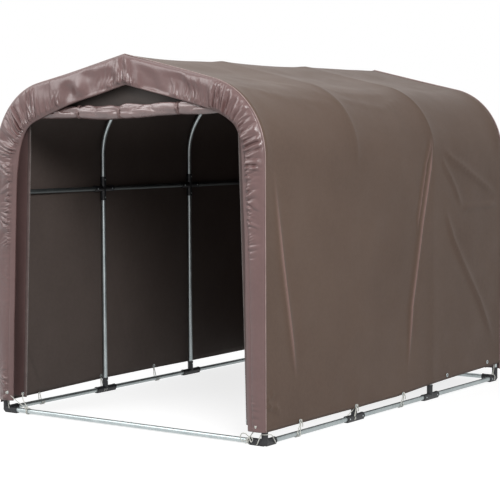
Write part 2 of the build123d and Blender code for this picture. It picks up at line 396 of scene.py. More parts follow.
# Height of each side hem as (y, z)
right_hem_points = (
    (-1.096, 0.062), (-0.36, 0.062), (0.0, 0.063), (0.36, 0.078), (0.8, 0.088), (1.096, 0.093),
)
left_hem_points = (
    (-1.096, 0.047), (-0.68, 0.059), (-0.36, 0.066), (0.0, 0.068), (0.36, 0.068), (1.096, 0.072),
)
hem_width = 0.027
# Sags between the arches, from the front bay to the rear one
ridge_sags = (0.011, 0.011, 0.004)
slope_sags = (0.014, 0.017, 0.011)
wall_sag = 0.0025

# Creases in the right wall: each a line of (y, z), then its height, its width and how fast its ends fade
wall_creases = (
    (((-1.039, 1.189), (-0.973, 0.784), (-0.859, 0.237)), 0.0175, 0.017, 0.45, 0.25),
    (((0.352, 1.30), (0.276, 1.155), (0.205, 0.90), (0.200, 0.80)), 0.0145, 0.011),
    (((0.36, 1.31), (0.319, 1.154), (0.238, 0.865), (0.143, 0.484), (0.108, 0.148)), 0.0190, 0.014),
    (((0.44, 1.24), (0.55, 1.19), (1.066, 0.984)), 0.0130, 0.018),
    (((0.437, 1.193), (0.57, 1.058), (0.67, 0.934)), 0.0105, 0.014),
    (((0.66, 0.934), (1.067, 0.945)), 0.0140, 0.012),
    (((0.47, 0.95), (0.573, 0.778), (0.873, 0.434), (1.051, 0.189)), 0.0130, 0.020),
    (((-1.10, 0.192), (-1.020, 0.226)), 0.0170, 0.008, 0.02, 0.6),
    (((-1.10, 0.178), (-1.018, 0.155), (-0.970, 0.116)), 0.0200, 0.010, 0.02, 0.6),
)
left_wall_creases = (
    (((-0.836, 0.07), (-0.96, 0.34), (-1.04, 0.52)), -0.014, 0.020, 0.02, 0.3),
    (((-0.836, 0.07), (-0.66, 0.45)), -0.003, 0.020, 0.02, 0.3),
    (((-0.12, 0.09), (-0.30, 0.70)), 0.003, 0.020, 0.02, 0.3),
)
# Creases in the right half of the roof: lines of (y, x)
roof_creases = (
    (((-1.0, 0.30), (-0.70, 0.39), (-0.433, 0.586)), 0.003, 0.020),
    (((-1.08, 0.56), (-0.381, 0.679)), 0.0052, 0.016),
    (((-0.90, 0.60), (-0.526, 0.698)), 0.003, 0.014),
    (((-0.46, 0.58), (-0.334, 0.684)), 0.003, 0.012),
    (((-0.34, 0.50), (-0.21, 0.585), (0.315, 0.582)), 0.0045, 0.016),
    (((-0.345, 0.63), (0.042, 0.676), (0.345, 0.60)), 0.0062, 0.014),
)


def hem_height(y, points):
    ys, zs = zip(*points)
    return np.interp(y, ys, zs)


def bay_share(y):
    """Which bay a place is in and how far along it, from 0 to 1."""
    bay = np.clip(np.searchsorted(arch_ys, y) - 1, 0, len(arch_ys) - 2)
    low = np.take(arch_ys, bay)
    high = np.take(arch_ys, bay + 1)
    return bay, np.clip((y - low) / (high - low), 0, 1)


broad_noise, middle_noise = SmoothNoise(11), SmoothNoise(12)
band_setback = 0.0033
band_face = front_y - band_front - band_setback


def on_roof(s):
    """1 over the roof, 0 beside the legs and round the shoulders."""
    return smooth_step(slope_length + 0.06, slope_length - 0.22, np.abs(s))


def corner_radius(s):
    """Radius at which the cloth turns to the front: tight beside the legs, soft over the roof."""
    return 0.007 + 0.014 * on_roof(s)


def face_lean(s):
    """How far the band's outer edge leans back over the roof, drawn in by its cord."""
    return 0.008 * on_roof(s)


def casing_width(s):
    """How far in from the band's inner edge its stitching lies."""
    return 0.022 - 0.017 * smooth_step(wall_start + 0.02, slope_length + 0.25, np.abs(s))


def seam_reach(s):
    """How far in front of the end arch's middle the seam between the sheet and the band lies."""
    return band_face - face_lean(s) - corner_radius(s) - cloth_thickness


def cover_offset(s, x, y, z):
    """How far the top sheet stands out from its taut shape."""
    bay, share = bay_share(y)
    hang = 4 * share * (1 - share)
    a = np.abs(s)
    on_slope = smooth_step(0.05, 0.3, a) * smooth_step(wall_start + 0.1, wall_start - 0.25, a)
    on_wall = smooth_step(wall_start - 0.1, wall_start + 0.25, a)
    out = -np.take(ridge_sags, bay) * hang * bell(a, 0, 0.12)
    out = out - np.take(slope_sags, bay) * hang * on_slope
    out = out - wall_sag * hang * on_wall
    near_arch = np.min([np.abs(y - place) for place in arch_ys], axis=0)
    on_bend = smooth_step(slope_length - 0.15, slope_length, a)
    on_bend = on_bend * smooth_step(wall_start + 0.08, wall_start - 0.05, a)
    out = out + 0.0045 * on_bend * (np.exp(-near_arch / 0.028) - 0.6)
    out = out + 0.0022 * broad_noise(y * 2.6 + 9, s * 2.2) * smooth_step(0.0, 0.08, near_arch)
    out = out + 0.0008 * middle_noise(y * 9.0, s * 6.0 + 40)
    hem = np.where(s > 0, hem_height(y, right_hem_points), hem_height(y, left_hem_points)) + hem_width
    out = out + 0.0010 * smooth_step(hem + 0.0015, hem - 0.0015, z) * (a > wall_start)
    on_right = np.where(s > 0, 1.0, 0.0)
    wall = all_creases(y, z, wall_creases) * smooth_step(1.36, 1.28, z)
    roof = all_creases(y, x, roof_creases) * smooth_step(1.3, 1.4, z)
    left_wall = all_creases(y, z, left_wall_creases) * smooth_step(1.2, 1.0, z)
    return out + on_right * (wall + roof) + (1 - on_right) * left_wall


def painted_crease_sheen(s, y, z):
    """How strong the painted highlight is along the right wall's three steep creases, 0 to 1."""
    lines = []
    for points, height, width, *fades in wall_creases[:3]:
        lines.append((points, 2.2 * (height / 0.019) ** 2, 0.6 * width, *fades))
    return np.clip(all_creases(y, z, lines), 0, 0.85) * (s > wall_start - 0.2)


def cover_stations():
    """Places along the shelter for the sheet's rows, closer together where it creases along its height."""
    creased = ((-1.10, -0.84), (0.09, 0.37))
    y, end = front_y - pipe_radius, rear_y + pipe_radius
    stations = []
    while y < end:
        stations.append(y)
        y += 0.006 if any(low < y < high for low, high in creased) else 0.0125
    stations = np.array([*stations, end])
    for place in arch_ys:
        stations[np.argmin(np.abs(stations - place))] = place
    return stations


def sheet_distances(hem_left, hem_right):
    """Distances from the ridge for the sheet's columns, from the left hem to the right one."""
    left_columns, roof_columns, right_columns = 46, 100, 76
    left = -wall_start - np.linspace(1, 0, left_columns)[:-1] * (bend_z - hem_left)
    roof = np.linspace(-wall_start, wall_start, roof_columns)
    right = wall_start + np.linspace(0, 1, right_columns)[1:] * (bend_z - hem_right)
    return np.concatenate([left, roof, right])


def top_sheet():
    """The sheet over the roof and both sides. Its first and last rows follow the bands' seams."""
    stations = cover_stations()
    rows, sheen_values = [], []
    for number, y in enumerate(stations):
        s = sheet_distances(hem_height(y, left_hem_points), hem_height(y, right_hem_points))
        points, normals = gable_line(s)
        ys = np.full(len(s), y)
        if number == 0:
            ys = front_y - seam_reach(s)
        elif number == len(stations) - 1:
            ys = rear_y + seam_reach(s)
        moved = points + normals * cover_offset(s, points[:, 0], ys, points[:, 1])[:, None]
        rows.append(np.stack([moved[:, 0], ys, moved[:, 1]], -1))
        sheen_values.append(painted_crease_sheen(s, ys, points[:, 1]))
    mesh = grid_mesh("top_sheet", np.array(rows), flip=True)
    # Each point carries how strong its painted crease highlight is.
    painted_sheen = mesh.attributes.new("painted_sheen", "FLOAT", "POINT")
    painted_sheen.data.foreach_set("value", np.array(sheen_values, np.float32).ravel())
    piece = new_piece("top_sheet", mesh, cover_cloth, ["cover_sheet"])
    add_thickness(piece, cloth_thickness, lining=cover_lining)


top_sheet()

# Gathered bands: the sheet's ends, turned round the end arches and drawn in by a cord in the hem

band_face_y = band_front + band_setback
casing_radius = 0.0062
band_foot = 0.062
band_lift = 0.0007
piping_lift = 0.0014
casing_inset = 0.002
# The opening's edge as (distance from the middle, height), from the foot to the ridge
right_opening = (
    (0.680, 0.0), (0.669, 0.55), (0.660, 0.978), (0.646, 1.25), (0.631, 1.318),
    (0.591, 1.369), (0.490, 1.418), (0.281, 1.471), (0.022, 1.531),
)
left_opening = (
    (0.687, 0.0), (0.672, 0.348), (0.646, 1.008), (0.628, 1.180), (0.600, 1.290),
    (0.558, 1.353), (0.468, 1.394), (0.258, 1.461), (-0.022, 1.531),
)


def along_line(points, share):
    """Points at shares of the length along a bent line."""
    points = np.array(points)
    steps = np.hypot(*np.diff(points, axis=0).T)
    lengths = np.concatenate([[0], np.cumsum(steps)]) / steps.sum()
    return np.stack([np.interp(share, lengths, column) for column in points.T], -1)


def split_opening(points):
    """The opening's edge in three runs: beside the leg, round the shoulder and under the roof."""
    points = rounded(points, 0.004)
    eave = next(k for k, p in enumerate(points) if p[1] > 1.2)
    roof = next(k for k, p in enumerate(points) if p[0] < 0.5)
    return points[:eave + 1], points[eave:roof + 1], points[roof:]


def opening_edge(s):
    """Where the band's inner edge lies for each distance from the ridge round the outside."""
    edge = np.zeros((len(s), 2))
    a = np.abs(s)
    foot = wall_start + bend_z
    for side, points in ((1, right_opening), (-1, left_opening)):
        leg, shoulder, roof = split_opening(points)
        on_leg = along_line(leg, np.clip((foot - a) / (foot - wall_start), 0, 1))
        on_shoulder = along_line(shoulder, np.clip((wall_start - a) / bend_length, 0, 1))
        on_roof = along_line(roof, np.clip((slope_length - a) / slope_length, 0, 1))
        pick = np.where((a > slope_length)[:, None], on_shoulder, on_roof)
        pick = np.where((a > wall_start)[:, None], on_leg, pick)
        mine = (s >= 0) if side > 0 else (s < 0)
        edge[mine] = pick[mine] * (side, 1)
    return edge


def band_section(s, width):
    """A cut across the band: distances inward from the outside, reaches in front of the arch, and turns."""
    radius = corner_radius(s)
    seam = seam_reach(s)
    rows = [(0 * s, seam - 0.006, 0), (0 * s, seam - 0.002, 0)]
    for turn in np.linspace(0, math.pi / 2, 6):
        over_seam = seam + cloth_thickness + radius * math.sin(turn)
        rows.append((radius * (1 - math.cos(turn)), over_seam, turn))
    for share in np.linspace(0, 1, 19)[1:]:
        rows.append((radius + (width - radius) * share, band_face - face_lean(s) * (1 - share), math.pi / 2))
    for wrap in np.radians(np.linspace(0, 235, 10))[1:]:
        under = band_face - casing_radius * (1 - math.cos(wrap))
        rows.append((width + casing_radius * math.sin(wrap), under + 0 * s, math.pi / 2 + wrap))
    inward, forward, facing = zip(*rows)
    return np.array(inward), np.array(forward), np.array(facing)[:, None] + 0 * s


class Pleats:
    """Folds side by side along a gathered edge, each with its own strength and reach from the stitching."""

    count = 512

    def __init__(self, seed, spacing, reach, lean):
        values = np.random.default_rng(seed)
        self.strengths = values.uniform(0.2, 1.0, self.count)
        self.reaches = reach * values.uniform(0.35, 1.4, self.count)
        self.uneven = SmoothNoise(seed + 1)
        self.slant = SmoothNoise(seed + 2)
        self.spacing, self.lean = spacing, lean

    def __call__(self, s, run):
        leaning = s + run * self.lean * self.slant(s / 0.085, run / 0.10)
        place = leaning / self.spacing + 0.85 * self.uneven(leaning / (2.6 * self.spacing), 0 * s)
        start = np.floor(place)
        body = np.sin(math.pi * (place - start)) ** 0.85
        number = start.astype(int) % self.count
        tip = smooth_step(1.0, 0.1, run / self.reaches[number])
        return self.strengths[number] * body * tip


def gathers(s, inward, width, seed):
    """Height of the gathers: deep folds fan out from each shoulder, short ones sit along the stitching."""
    long_pleats = Pleats(seed, 0.034, 0.34, 0.25)
    second_pleats = Pleats(seed + 40, 0.019, 0.13, 0.35)
    medium_pleats = Pleats(seed + 10, 0.027, 0.085, 0.8)
    short_pleats = Pleats(seed + 20, 0.0135, 0.040, 0.7)
    dents, patch = SmoothNoise(seed + 30), SmoothNoise(seed + 31)
    a = np.abs(s)
    stitched = width - casing_width(s)
    run = np.clip(stitched - inward, 0, None)
    across = np.clip(inward / stitched, 0, 1)
    # Where on the band each kind of fold lies
    shoulder = smooth_step(slope_length - 0.16, slope_length + 0.08, a)
    shoulder = shoulder * smooth_step(wall_start + 0.14, wall_start - 0.04, a)
    leg = smooth_step(wall_start - 0.06, wall_start + 0.10, a)
    roof = smooth_step(slope_length + 0.06, slope_length - 0.14, a)
    left = np.where(s < 0, 1.0, 0.0)
    upper_leg = smooth_step(0.50 + 0.30 * left, 0.12, a - wall_start) * leg
    foot = smooth_step(0.26, 0.05, wall_start + bend_z - band_foot - a) * (0.25 + 1.0 * left)
    patches = smooth_step(-0.25, 0.25, patch(s / 0.10 + 9, 0 * s))
    in_patches = roof * patches
    medium = 0.3 * shoulder + 1.1 * in_patches + 1.6 * upper_leg + 0.8 * foot + 0.15 * leg
    little = 0.5 * shoulder + 0.9 * in_patches + 1.4 * upper_leg + 0.9 * foot + 0.25 * leg * patches
    height = 0.0160 * long_pleats(s, run) * shoulder
    height = height + 0.0085 * second_pleats(s, run) * (shoulder + 0.6 * in_patches)
    height = height + 0.0100 * medium_pleats(s, run) * medium
    height = height + 0.0066 * short_pleats(s, run) * little
    slopes = dents(s / 0.060 + 31 + run * 6, across * 1.5 + 5) * smooth_step(0.0, 0.45, across)
    height = height + (0.0150 * roof + 0.0060 * shoulder + 0.0030 * leg) * slopes
    # The crease down from the ridge, with a fold on each side of it, and the nips at the peak
    height = height - 0.0110 * np.exp(-a / 0.0090)
    height = height + 0.0060 * bell(a, 0.028, 0.016) + 0.0080 * bell(a, 0.085, 0.018) * across
    nips = np.abs(np.sin(s / 0.0125 * math.pi)) - 0.4
    height = height + 0.0080 * nips * bell(a, 0, 0.05) * smooth_step(0.40, 0.95, across)
    seam_fade = smooth_step(0.0, 0.018 + 0.020 * leg, inward)
    return height * seam_fade * smooth_step(stitched + 0.004, stitched - 0.004, inward)


def band_places(reach, coarse):
    """Distances from the ridge for the band's columns, closer together where it is gathered."""
    steps = ((slope_length, 0.0030), (wall_start + 0.42, 0.0026), (reach - 0.16, 0.0075), (reach, 0.0034))
    right = [0.0]
    for stop, step in steps:
        count = int((stop - right[-1]) / (step * coarse))
        right.extend(np.linspace(right[-1], stop, count + 1)[1:])
    right = np.array(right)
    return np.concatenate([-right[::-1][:-1], right])


def band(name, replaced, end, seed, coarse=1.0, depth=1.0):
    """A gathered band at one end, front -1 or rear 1. Gives its lines of casing stitches and piping."""
    reach = wall_start + bend_z - band_foot
    s = band_places(reach, coarse)
    outside, normals = gable_line(s)
    inner = opening_edge(s) - outside
    width = np.hypot(inner[:, 0], inner[:, 1]) - casing_inset
    heading = inner / (width + casing_inset)[:, None]
    inward, forward, facing = band_section(s, width)
    on_face = facing > math.pi / 4
    across = np.clip(inward / width, 0, 1)
    from_stitches = inward - width + casing_width(s)
    folds = gathers(np.broadcast_to(s, inward.shape), inward, width[None, :], seed)
    folds = folds - 0.0022 * bell(from_stitches, 0, 0.0040) * on_face
    folds = folds + 0.0060 * np.sin(math.pi * across) ** 0.9
    folds = folds + 0.0020 * bell(from_stitches, 0.5 * casing_width(s), 0.0080) * on_face
    folds = folds * depth
    sway = SmoothNoise(seed + 60)(s / 0.16, 0 * s) * 0.002 * smooth_step(0.5, 1.0, across)
    moved = inward - np.cos(facing) * np.clip(folds, -0.002, 0.004) * 0.2 + sway
    moved_forward = forward + np.maximum(np.sin(facing), 0.2) * folds
    x = outside[:, 0] + heading[:, 0] * moved + normals[:, 0] * band_lift
    z = outside[:, 1] + heading[:, 1] * moved + normals[:, 1] * band_lift
    points = np.stack([x, end * (rear_y + moved_forward), z], -1)
    mesh = grid_mesh(name, points, flip=end > 0)
    piece = new_piece(name, mesh, band_cloth, [replaced])
    add_thickness(piece, cloth_thickness)
    nearest = np.argmin(np.abs(from_stitches) + 9 * (1 - on_face), axis=0)
    casing_line = points[nearest, np.arange(len(s))] + (0, end * band_lift, 0)
    edge_line = points[2] + np.stack([normals[:, 0] * piping_lift, 0 * s, normals[:, 1] * piping_lift], -1)
    return casing_line, edge_line


front_casing_line, front_edge_line = band("gathered_band_front", "front_band", -1, seed=101)
rear_casing_line, rear_edge_line = band(
    "gathered_band_rear", "rear_band", 1, seed=201, coarse=1.4, depth=0.4,
)

# Rolled door: one cloth wound up under the gable, pinched by its straps

# Each strap's place along the roll, how deep it pinches it and how far to each side
pinches = ((-0.267, 0.12, 0.030), (-0.026, 0.20, 0.018), (0.299, 0.16, 0.024))
roll_turns = 9


def roll_surface(angle, x, wound):
    """A point of the roll at an angle round it. Wound is 1 on its outside and falls towards its core."""
    share = x / roll_half_length
    fullness = 1.10 - 0.50 * np.abs(share) ** 3.0
    pull = 0 * x
    for place, depth, reach in pinches:
        fullness = fullness - depth * np.exp(-(np.abs((x - place) / reach) ** 1.2))
        pull = pull + np.exp(-(np.abs((x - place) / 0.09) ** 1.2)) * np.sign(x - place)
    folds = SmoothNoise(311, around=5)
    creases = SmoothNoise(312, around=11)
    turn = angle / (2 * math.pi)
    bunched = 0.10 + 0.90 * smooth_step(-0.55, 0.15, np.sin(angle))
    rumple = 0.75 * (np.abs(folds(turn * 5 + x * 5 + pull * 0.7, x / 0.11)) ** 0.8 - 0.35)
    rumple = rumple + 0.34 * (np.abs(creases(turn * 11 - x * 12 - pull * 1.6, x / 0.07)) ** 0.8 - 0.34)
    size = fullness * (1 + rumple * bunched) * wound
    sag = -0.004 * np.cos(x * 11 + 0.6)
    y = roll_y + 0.0215 * size * np.cos(angle)
    z = roll_z + 0.010 * share + sag + 0.0285 * size * np.sin(angle)
    return y, z


def door_roll():
    """The door's cloth wound up, with more points on the turn that shows."""
    stations = np.linspace(-roll_half_length, roll_half_length, 190)
    outer_points, inner_points = 72, 16
    counts = [outer_points] + [inner_points] * (roll_turns - 1)
    turns = [turn + np.linspace(0, 1, count, endpoint=False) for turn, count in enumerate(counts)]
    turns = np.concatenate(turns)
    angle, x = np.meshgrid(turns * 2 * math.pi + 2.2, stations)
    y, z = roll_surface(angle, x, np.broadcast_to(1 - 0.94 * turns / roll_turns, x.shape))
    mesh = grid_mesh("door_roll", np.stack([x, y, z], -1), flip=True)
    # Its lighter cloth is painted light.
    piece = new_piece("door_roll", mesh, lit_roll_cloth, ["curtain_roll"])
    add_thickness(piece, 0.0007)


def roll_straps():
    """A flat strap round the roll at each pinch."""
    around = np.linspace(0, 2 * math.pi, 49)[:-1]
    for number, (place, _, _) in enumerate(pinches, 1):
        angle, x = np.meshgrid(around, place + np.linspace(-0.007, 0.007, 5))
        y, z = roll_surface(angle, np.full_like(x, place), np.ones(x.shape))
        y = roll_y + (y - roll_y) * 1.1
        z = roll_z + (z - roll_z) * 1.07
        rings = np.stack([x, y, z], -1).transpose(1, 0, 2)
        mesh = grid_mesh(f"roll_strap_{number}", rings, closed_u=True)
        piece = new_piece(f"roll_strap_{number}", mesh, strap_web, ["roll_straps"])
        add_thickness(piece, 0.0014)


door_roll()
roll_straps()

# Curtains inside the arches

curtain_gap = 0.0047
curtain_foot = 0.076
strip_edge = wall_x - curtain_gap
gable_half_width = 0.69
gable_foot = roll_z - 0.008
strip_head = roll_z - 0.0085
# Each side strip's zipped edge, from the foot up, as (height, distance from the middle)
zip_edges = {
    "left": ((curtain_foot, 0.642), (1.24, 0.594), (1.41, 0.592)),
    "right": ((curtain_foot, 0.637), (0.58, 0.6245), (0.977, 0.6116), (1.41, 0.597)),
}


def inner_roof(x):
    """Height under the top sheet's taut shape at a place across the shelter."""
    points, normals = gable_line(np.linspace(0, wall_start, 400))
    points = points - normals * curtain_gap
    return np.interp(np.abs(x), points[:, 0], points[:, 1])


def hanging_folds(x, z, seed, depth):
    """Soft upright folds with a few slanting pulls."""
    broad, fine, slant = SmoothNoise(seed), SmoothNoise(seed + 1), SmoothNoise(seed + 2)
    height = depth * broad(x / 0.16, z / 0.9)
    height = height + depth * 0.5 * fine(x / 0.07 + z * 0.8, z / 0.45)
    return height + depth * 0.35 * (np.abs(slant(x / 0.12 - z / 0.2, z / 0.3)) - 0.3)


def curtain(name, replaced, x, z, y, seed, depth, facing, cloth=curtain_cloth):
    """A hanging panel through rows of places across and up."""
    edge = np.minimum.reduce([x - x.min(), x.max() - x])
    fold = hanging_folds(x, z, seed, depth) * smooth_step(0, 0.03, edge)
    mesh = grid_mesh(name, np.stack([x, y + fold, z], -1), flip=facing > 0)
    piece = new_piece(name, mesh, cloth, [replaced])
    add_thickness(piece, 0.001, 0.0)


def panel_grid(x_values, low, high, rows):
    """Places across and up between a lower and an upper edge."""
    x = np.broadcast_to(x_values, (rows, len(x_values)))
    share = np.linspace(0, 1, rows)[:, None]
    return x, low + (high - low) * share


def zip_edge(name, z):
    """How far from the middle a side strip's zipped edge hangs at each height."""
    heights, places = zip(*zip_edges[name])
    return np.interp(z, heights, places)


def gable_curtain():
    across = np.linspace(-gable_half_width, gable_half_width, 180)
    x, z = panel_grid(across, gable_foot, inner_roof(across), 36)
    # The gable's darker cloth is painted shade.
    curtain("gable_curtain", "curtain_gable", x, z, curtain_y, 401, 0.004, -1, shaded_gable_cloth)


def side_strip(side, name, seed):
    """A strip between the arch and the door's zip. Gives the line of its zip."""
    columns, rows = 34, 150
    share = np.linspace(0, 1, columns)[None, :]
    head = np.minimum(inner_roof(strip_edge - share * (strip_edge - 0.6)), strip_head)
    z = curtain_foot + (head - curtain_foot) * np.linspace(0, 1, rows)[:, None]
    x = side * (strip_edge - share * (strip_edge - zip_edge(name, z)))
    curtain(f"side_strip_{name}", f"curtain_strip_{name}", x, z, curtain_y, seed, 0.004, -side)
    return np.stack([x[:, -1], np.full(rows, curtain_y), z[:, -1]], -1)


def rear_curtain():
    across = np.linspace(-strip_edge, strip_edge, 150)
    x, z = panel_grid(across, curtain_foot, np.maximum(inner_roof(across), 0.1), 100)
    curtain("rear_curtain", "rear_sheet", x, z, rear_sheet_y, 431, 0.007, -1)


gable_curtain()
zip_lines = {"left": side_strip(-1, "left", 411), "right": side_strip(1, "right", 421)}
rear_curtain()

# Cords and piping as round tubes

def tube_points(path, radius, sides=8):
    """Rings of points along a path, carried round its bends without a twist."""
    path = np.array(path, float)
    tangent = np.gradient(path, axis=0)
    tangent /= np.linalg.norm(tangent, axis=1)[:, None]
    start = np.cross(tangent[0], (0.0, 0.0, 1.0) if abs(tangent[0][2]) < 0.9 else (1.0, 0.0, 0.0))
    across = [start / np.linalg.norm(start)]
    for k in range(1, len(path)):
        side = across[-1] - tangent[k] * np.dot(across[-1], tangent[k])
        across.append(side / np.linalg.norm(side))
    across = np.array(across)
    other = np.cross(tangent, across)
    turn = np.linspace(0, 2 * math.pi, sides, endpoint=False)
    ring = across[:, None] * np.cos(turn)[None, :, None] + other[:, None] * np.sin(turn)[None, :, None]
    return path[:, None] + ring * radius


def tubes_mesh(name, paths, radius, sides=8):
    """One mesh of several round tubes, each closed at its ends."""
    vertices, faces = [], []
    for path in paths:
        rings = tube_points(path, radius, sides)
        first = len(vertices)
        vertices.extend(rings.reshape(-1, 3).tolist())
        last = first + (len(rings) - 1) * sides
        for ring in range(first, last, sides):
            for j in range(sides):
                a, b = ring + j, ring + (j + 1) % sides
                faces.append((a, b, b + sides, a + sides))
        faces.append(tuple(range(first + sides - 1, first - 1, -1)))
        faces.append(tuple(range(last, last + sides)))
    return shaded_mesh(name, vertices, faces)


def overhand_knot(centre, size, turn=0.0):
    """A tight knot in a cord, as a closed three-lobed path."""
    t = np.linspace(0, 2 * math.pi, 49)
    x = (np.sin(t) + 2 * np.sin(2 * t)) * size / 3
    y = -np.sin(3 * t) * size / 2.2
    z = (np.cos(t) - 2 * np.cos(2 * t)) * size / 3
    cos, sin = math.cos(turn), math.sin(turn)
    return np.stack([x * cos - y * sin, x * sin + y * cos, z], -1) + centre


cord_radius = 0.0022
piping_radius = 0.0022
wrap_radius = pipe_radius + cord_radius + 0.0004
cord_front = front_y - pipe_radius - cord_radius
# Eyelets in the side hems as (y, z), and in the bands' and door strips' feet as (x, z)
right_eyelets = ((-0.836, 0.072), (-0.371, 0.071), (0.062, 0.067), (0.508, 0.102), (0.953, 0.115))
left_eyelets = ((-0.836, 0.080), (-0.371, 0.080), (0.062, 0.080), (0.508, 0.082), (0.953, 0.084))
right_foot_eyelet, left_foot_eyelet = (0.7226, 0.0847), (-0.7102, 0.1014)
left_strip_eyelet, right_strip_eyelet = (-0.6625, 0.090), (0.640, 0.090)
# How far each tie's two ends spread along the sill, for the eyelets that are tied
right_spreads, left_spreads = (0.010, 0.003, 0.010), (0.008, 0.008, 0.008)


def round_the_sill(side, y, start, end):
    """A cord's path round a side sill, between two angles seen from the front."""
    angles = np.radians(np.linspace(start, end, 9))
    return [
        (side * (leg_x + wrap_radius * math.cos(a)), y, sill_z + wrap_radius * math.sin(a))
        for a in angles
    ]


def side_tie(side, y, z, spread):
    """A cord from an eyelet in the side hem, down both ways round the sill, with its knot and tail."""
    outside = wall_x + 0.0030

    def beside(out, along, up):
        return side * (outside + out), y + along, z + up

    near = round_the_sill(side, y - spread, -190, 35)
    far = round_the_sill(side, y + spread, 35, -190)
    eyelet = [beside(0, -0.0012, 0), beside(-0.0050, 0, 0.001), beside(0, 0.0012, 0)]
    knot = overhand_knot(beside(0.002, 0, 0.004), 0.0042, math.pi / 2)
    tail = rounded([beside(0.003, 0, 0.003), beside(0.0055, 0.006, -0.010), beside(0.004, 0.008, -0.024)])
    return [rounded(near + eyelet + far), knot, tail]


def wound_on_sill(x):
    """A cord wound on the front sill at a place across the shelter."""
    angles = np.radians(np.linspace(-30, 780, 46))
    along = x + np.linspace(-0.004, 0.004, 46)
    y, z = front_y + wrap_radius * np.cos(angles), sill_z + wrap_radius * np.sin(angles)
    return np.stack([along, y, z], -1)


def before_sill(*places):
    """Points given by their place across, how far they lie in front of the sill, and their height."""
    return [(x, cord_front - gap, z) for x, gap, z in places]


def in_front(point):
    """Where a knot sits on an eyelet."""
    x, y, z = point
    return x, y - 0.003, z


def left_corner_cords():
    """The cords from the left foot and the left door strip to the front sill and under the corner joint."""
    x, z = left_foot_eyelet
    foot_eyelet = (x, band_face_y - 0.004, z)
    x, z = left_strip_eyelet
    strip_eyelet = (x, curtain_y - 0.002, z)
    runs = [
        [foot_eyelet, *before_sill((-0.672, 0.012, 0.073), (-0.634, 0.006, 0.048), (-0.608, 0, 0.030))],
        [strip_eyelet, (-0.652, curtain_y - 0.012, 0.066), (-0.627, front_y + 0.006, 0.044),
         (-0.604, front_y, 0.0305)],
        [foot_eyelet, *before_sill((-0.7125, 0.010, 0.075), (-0.716, 0.004, 0.040), (-0.716, -0.0015, 0.020)),
         (-0.716, front_y - 0.004, 0.0025)],
    ]
    knots = [(in_front(foot_eyelet), 0.0055), (in_front(strip_eyelet), 0.0045)]
    knots.append((before_sill((-0.6055, 0.001, 0.034))[0], 0.0060))
    return runs, knots, [wound_on_sill(-0.606)]


def right_corner_cords():
    """The cord from the right foot to a bow on the front sill, and the loop over the corner joint."""
    x, z = right_foot_eyelet
    eyelet = (x, band_face_y - 0.004, z)
    bow = before_sill((0.676, 0.002, 0.033))[0]
    big_loop = before_sill(
        (0.660, 0.006, 0.048), (0.641, 0.007, 0.047), (0.632, 0.005, 0.030),
        (0.640, 0.003, 0.013), (0.655, 0.004, 0.019),
    )
    small_loop = before_sill((0.690, 0.007, 0.038), (0.697, 0.008, 0.026), (0.688, 0.006, 0.015))
    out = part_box("corner_joint_front_right")[1].x - leg_x + cord_radius
    beside, before = leg_x + out, front_y - out
    over_joint = [
        (0.706, before + 0.012, cord_radius), (0.718, before, 0.008), (0.729, before - 0.001, 0.030),
        (0.740, before - 0.001, 0.0505), (0.756, front_y - 0.016, 0.0520), (beside, front_y + 0.024, 0.0470),
        (beside + 0.0008, front_y + 0.040, 0.028), (beside, front_y + 0.054, 0.010),
        (beside - 0.010, front_y + 0.060, cord_radius),
    ]
    runs = [
        [eyelet, *before_sill((0.708, 0.012, 0.066), (0.690, 0.008, 0.046)), bow],
        [bow, *big_loop, bow],
        [bow, *small_loop, bow],
        [bow, *before_sill((0.667, 0.006, 0.020), (0.662, 0.008, 0.007))],
        over_joint,
    ]
    return runs, [(bow, 0.0055), (in_front(eyelet), 0.0045)], [wound_on_sill(0.668)]


def rear_corner_cords(side):
    """The cord tied over a rear corner joint."""
    y = rear_y - 0.032
    out = joint_radius + cord_radius

    def beside(across, along, z):
        return side * (leg_x + across), y + along, z

    runs = [
        [beside(out, -0.006, 0.008), beside(out, -0.002, 0.026), beside(0.004, 0.004, 0.0345),
         beside(-0.012, 0.008, 0.020)],
        [beside(wall_x - leg_x - 0.006, -0.004, 0.094), beside(0.010, 0, 0.062), beside(0.002, 0.003, 0.040)],
    ]
    return runs, [(beside(0.002, 0.002, 0.040), 0.0055)], []


def tie_cords():
    """All ties in one piece: three on each side, those at the corners, and one tail over the second joint."""
    paths = []
    for side, hem, spreads in ((1, right_eyelets, right_spreads), (-1, left_eyelets, left_spreads)):
        for (y, z), spread in zip(hem, spreads):
            paths += side_tie(side, y, z, spread)
    for runs, knots, wound in (
        left_corner_cords(), right_corner_cords(), rear_corner_cords(1), rear_corner_cords(-1),
    ):
        paths += wound + [rounded(run) for run in runs] + [overhand_knot(*knot) for knot in knots]
    y, above = arch_ys[1], sill_z + pipe_radius + cord_radius
    tail = [
        (leg_x + 0.010, y - 0.012, 0.060), (leg_x + 0.004, y - 0.038, 0.044),
        (leg_x - 0.002, y - 0.064, above),
    ]
    paths.append(rounded(tail))
    new_piece("tie_cords", tubes_mesh("tie_cords", paths, cord_radius), white_cord)


def cover_piping():
    """The round piping sewn between the top sheet and its gathered ends."""
    for name, line in (("front", front_edge_line), ("rear", rear_edge_line)):
        new_piece(f"piping_{name}", tubes_mesh(f"piping_{name}", [line], piping_radius), piping_cloth)


tie_cords()
cover_piping()

# Small repeated pieces: eyelets, stitches, zip teeth, screw heads

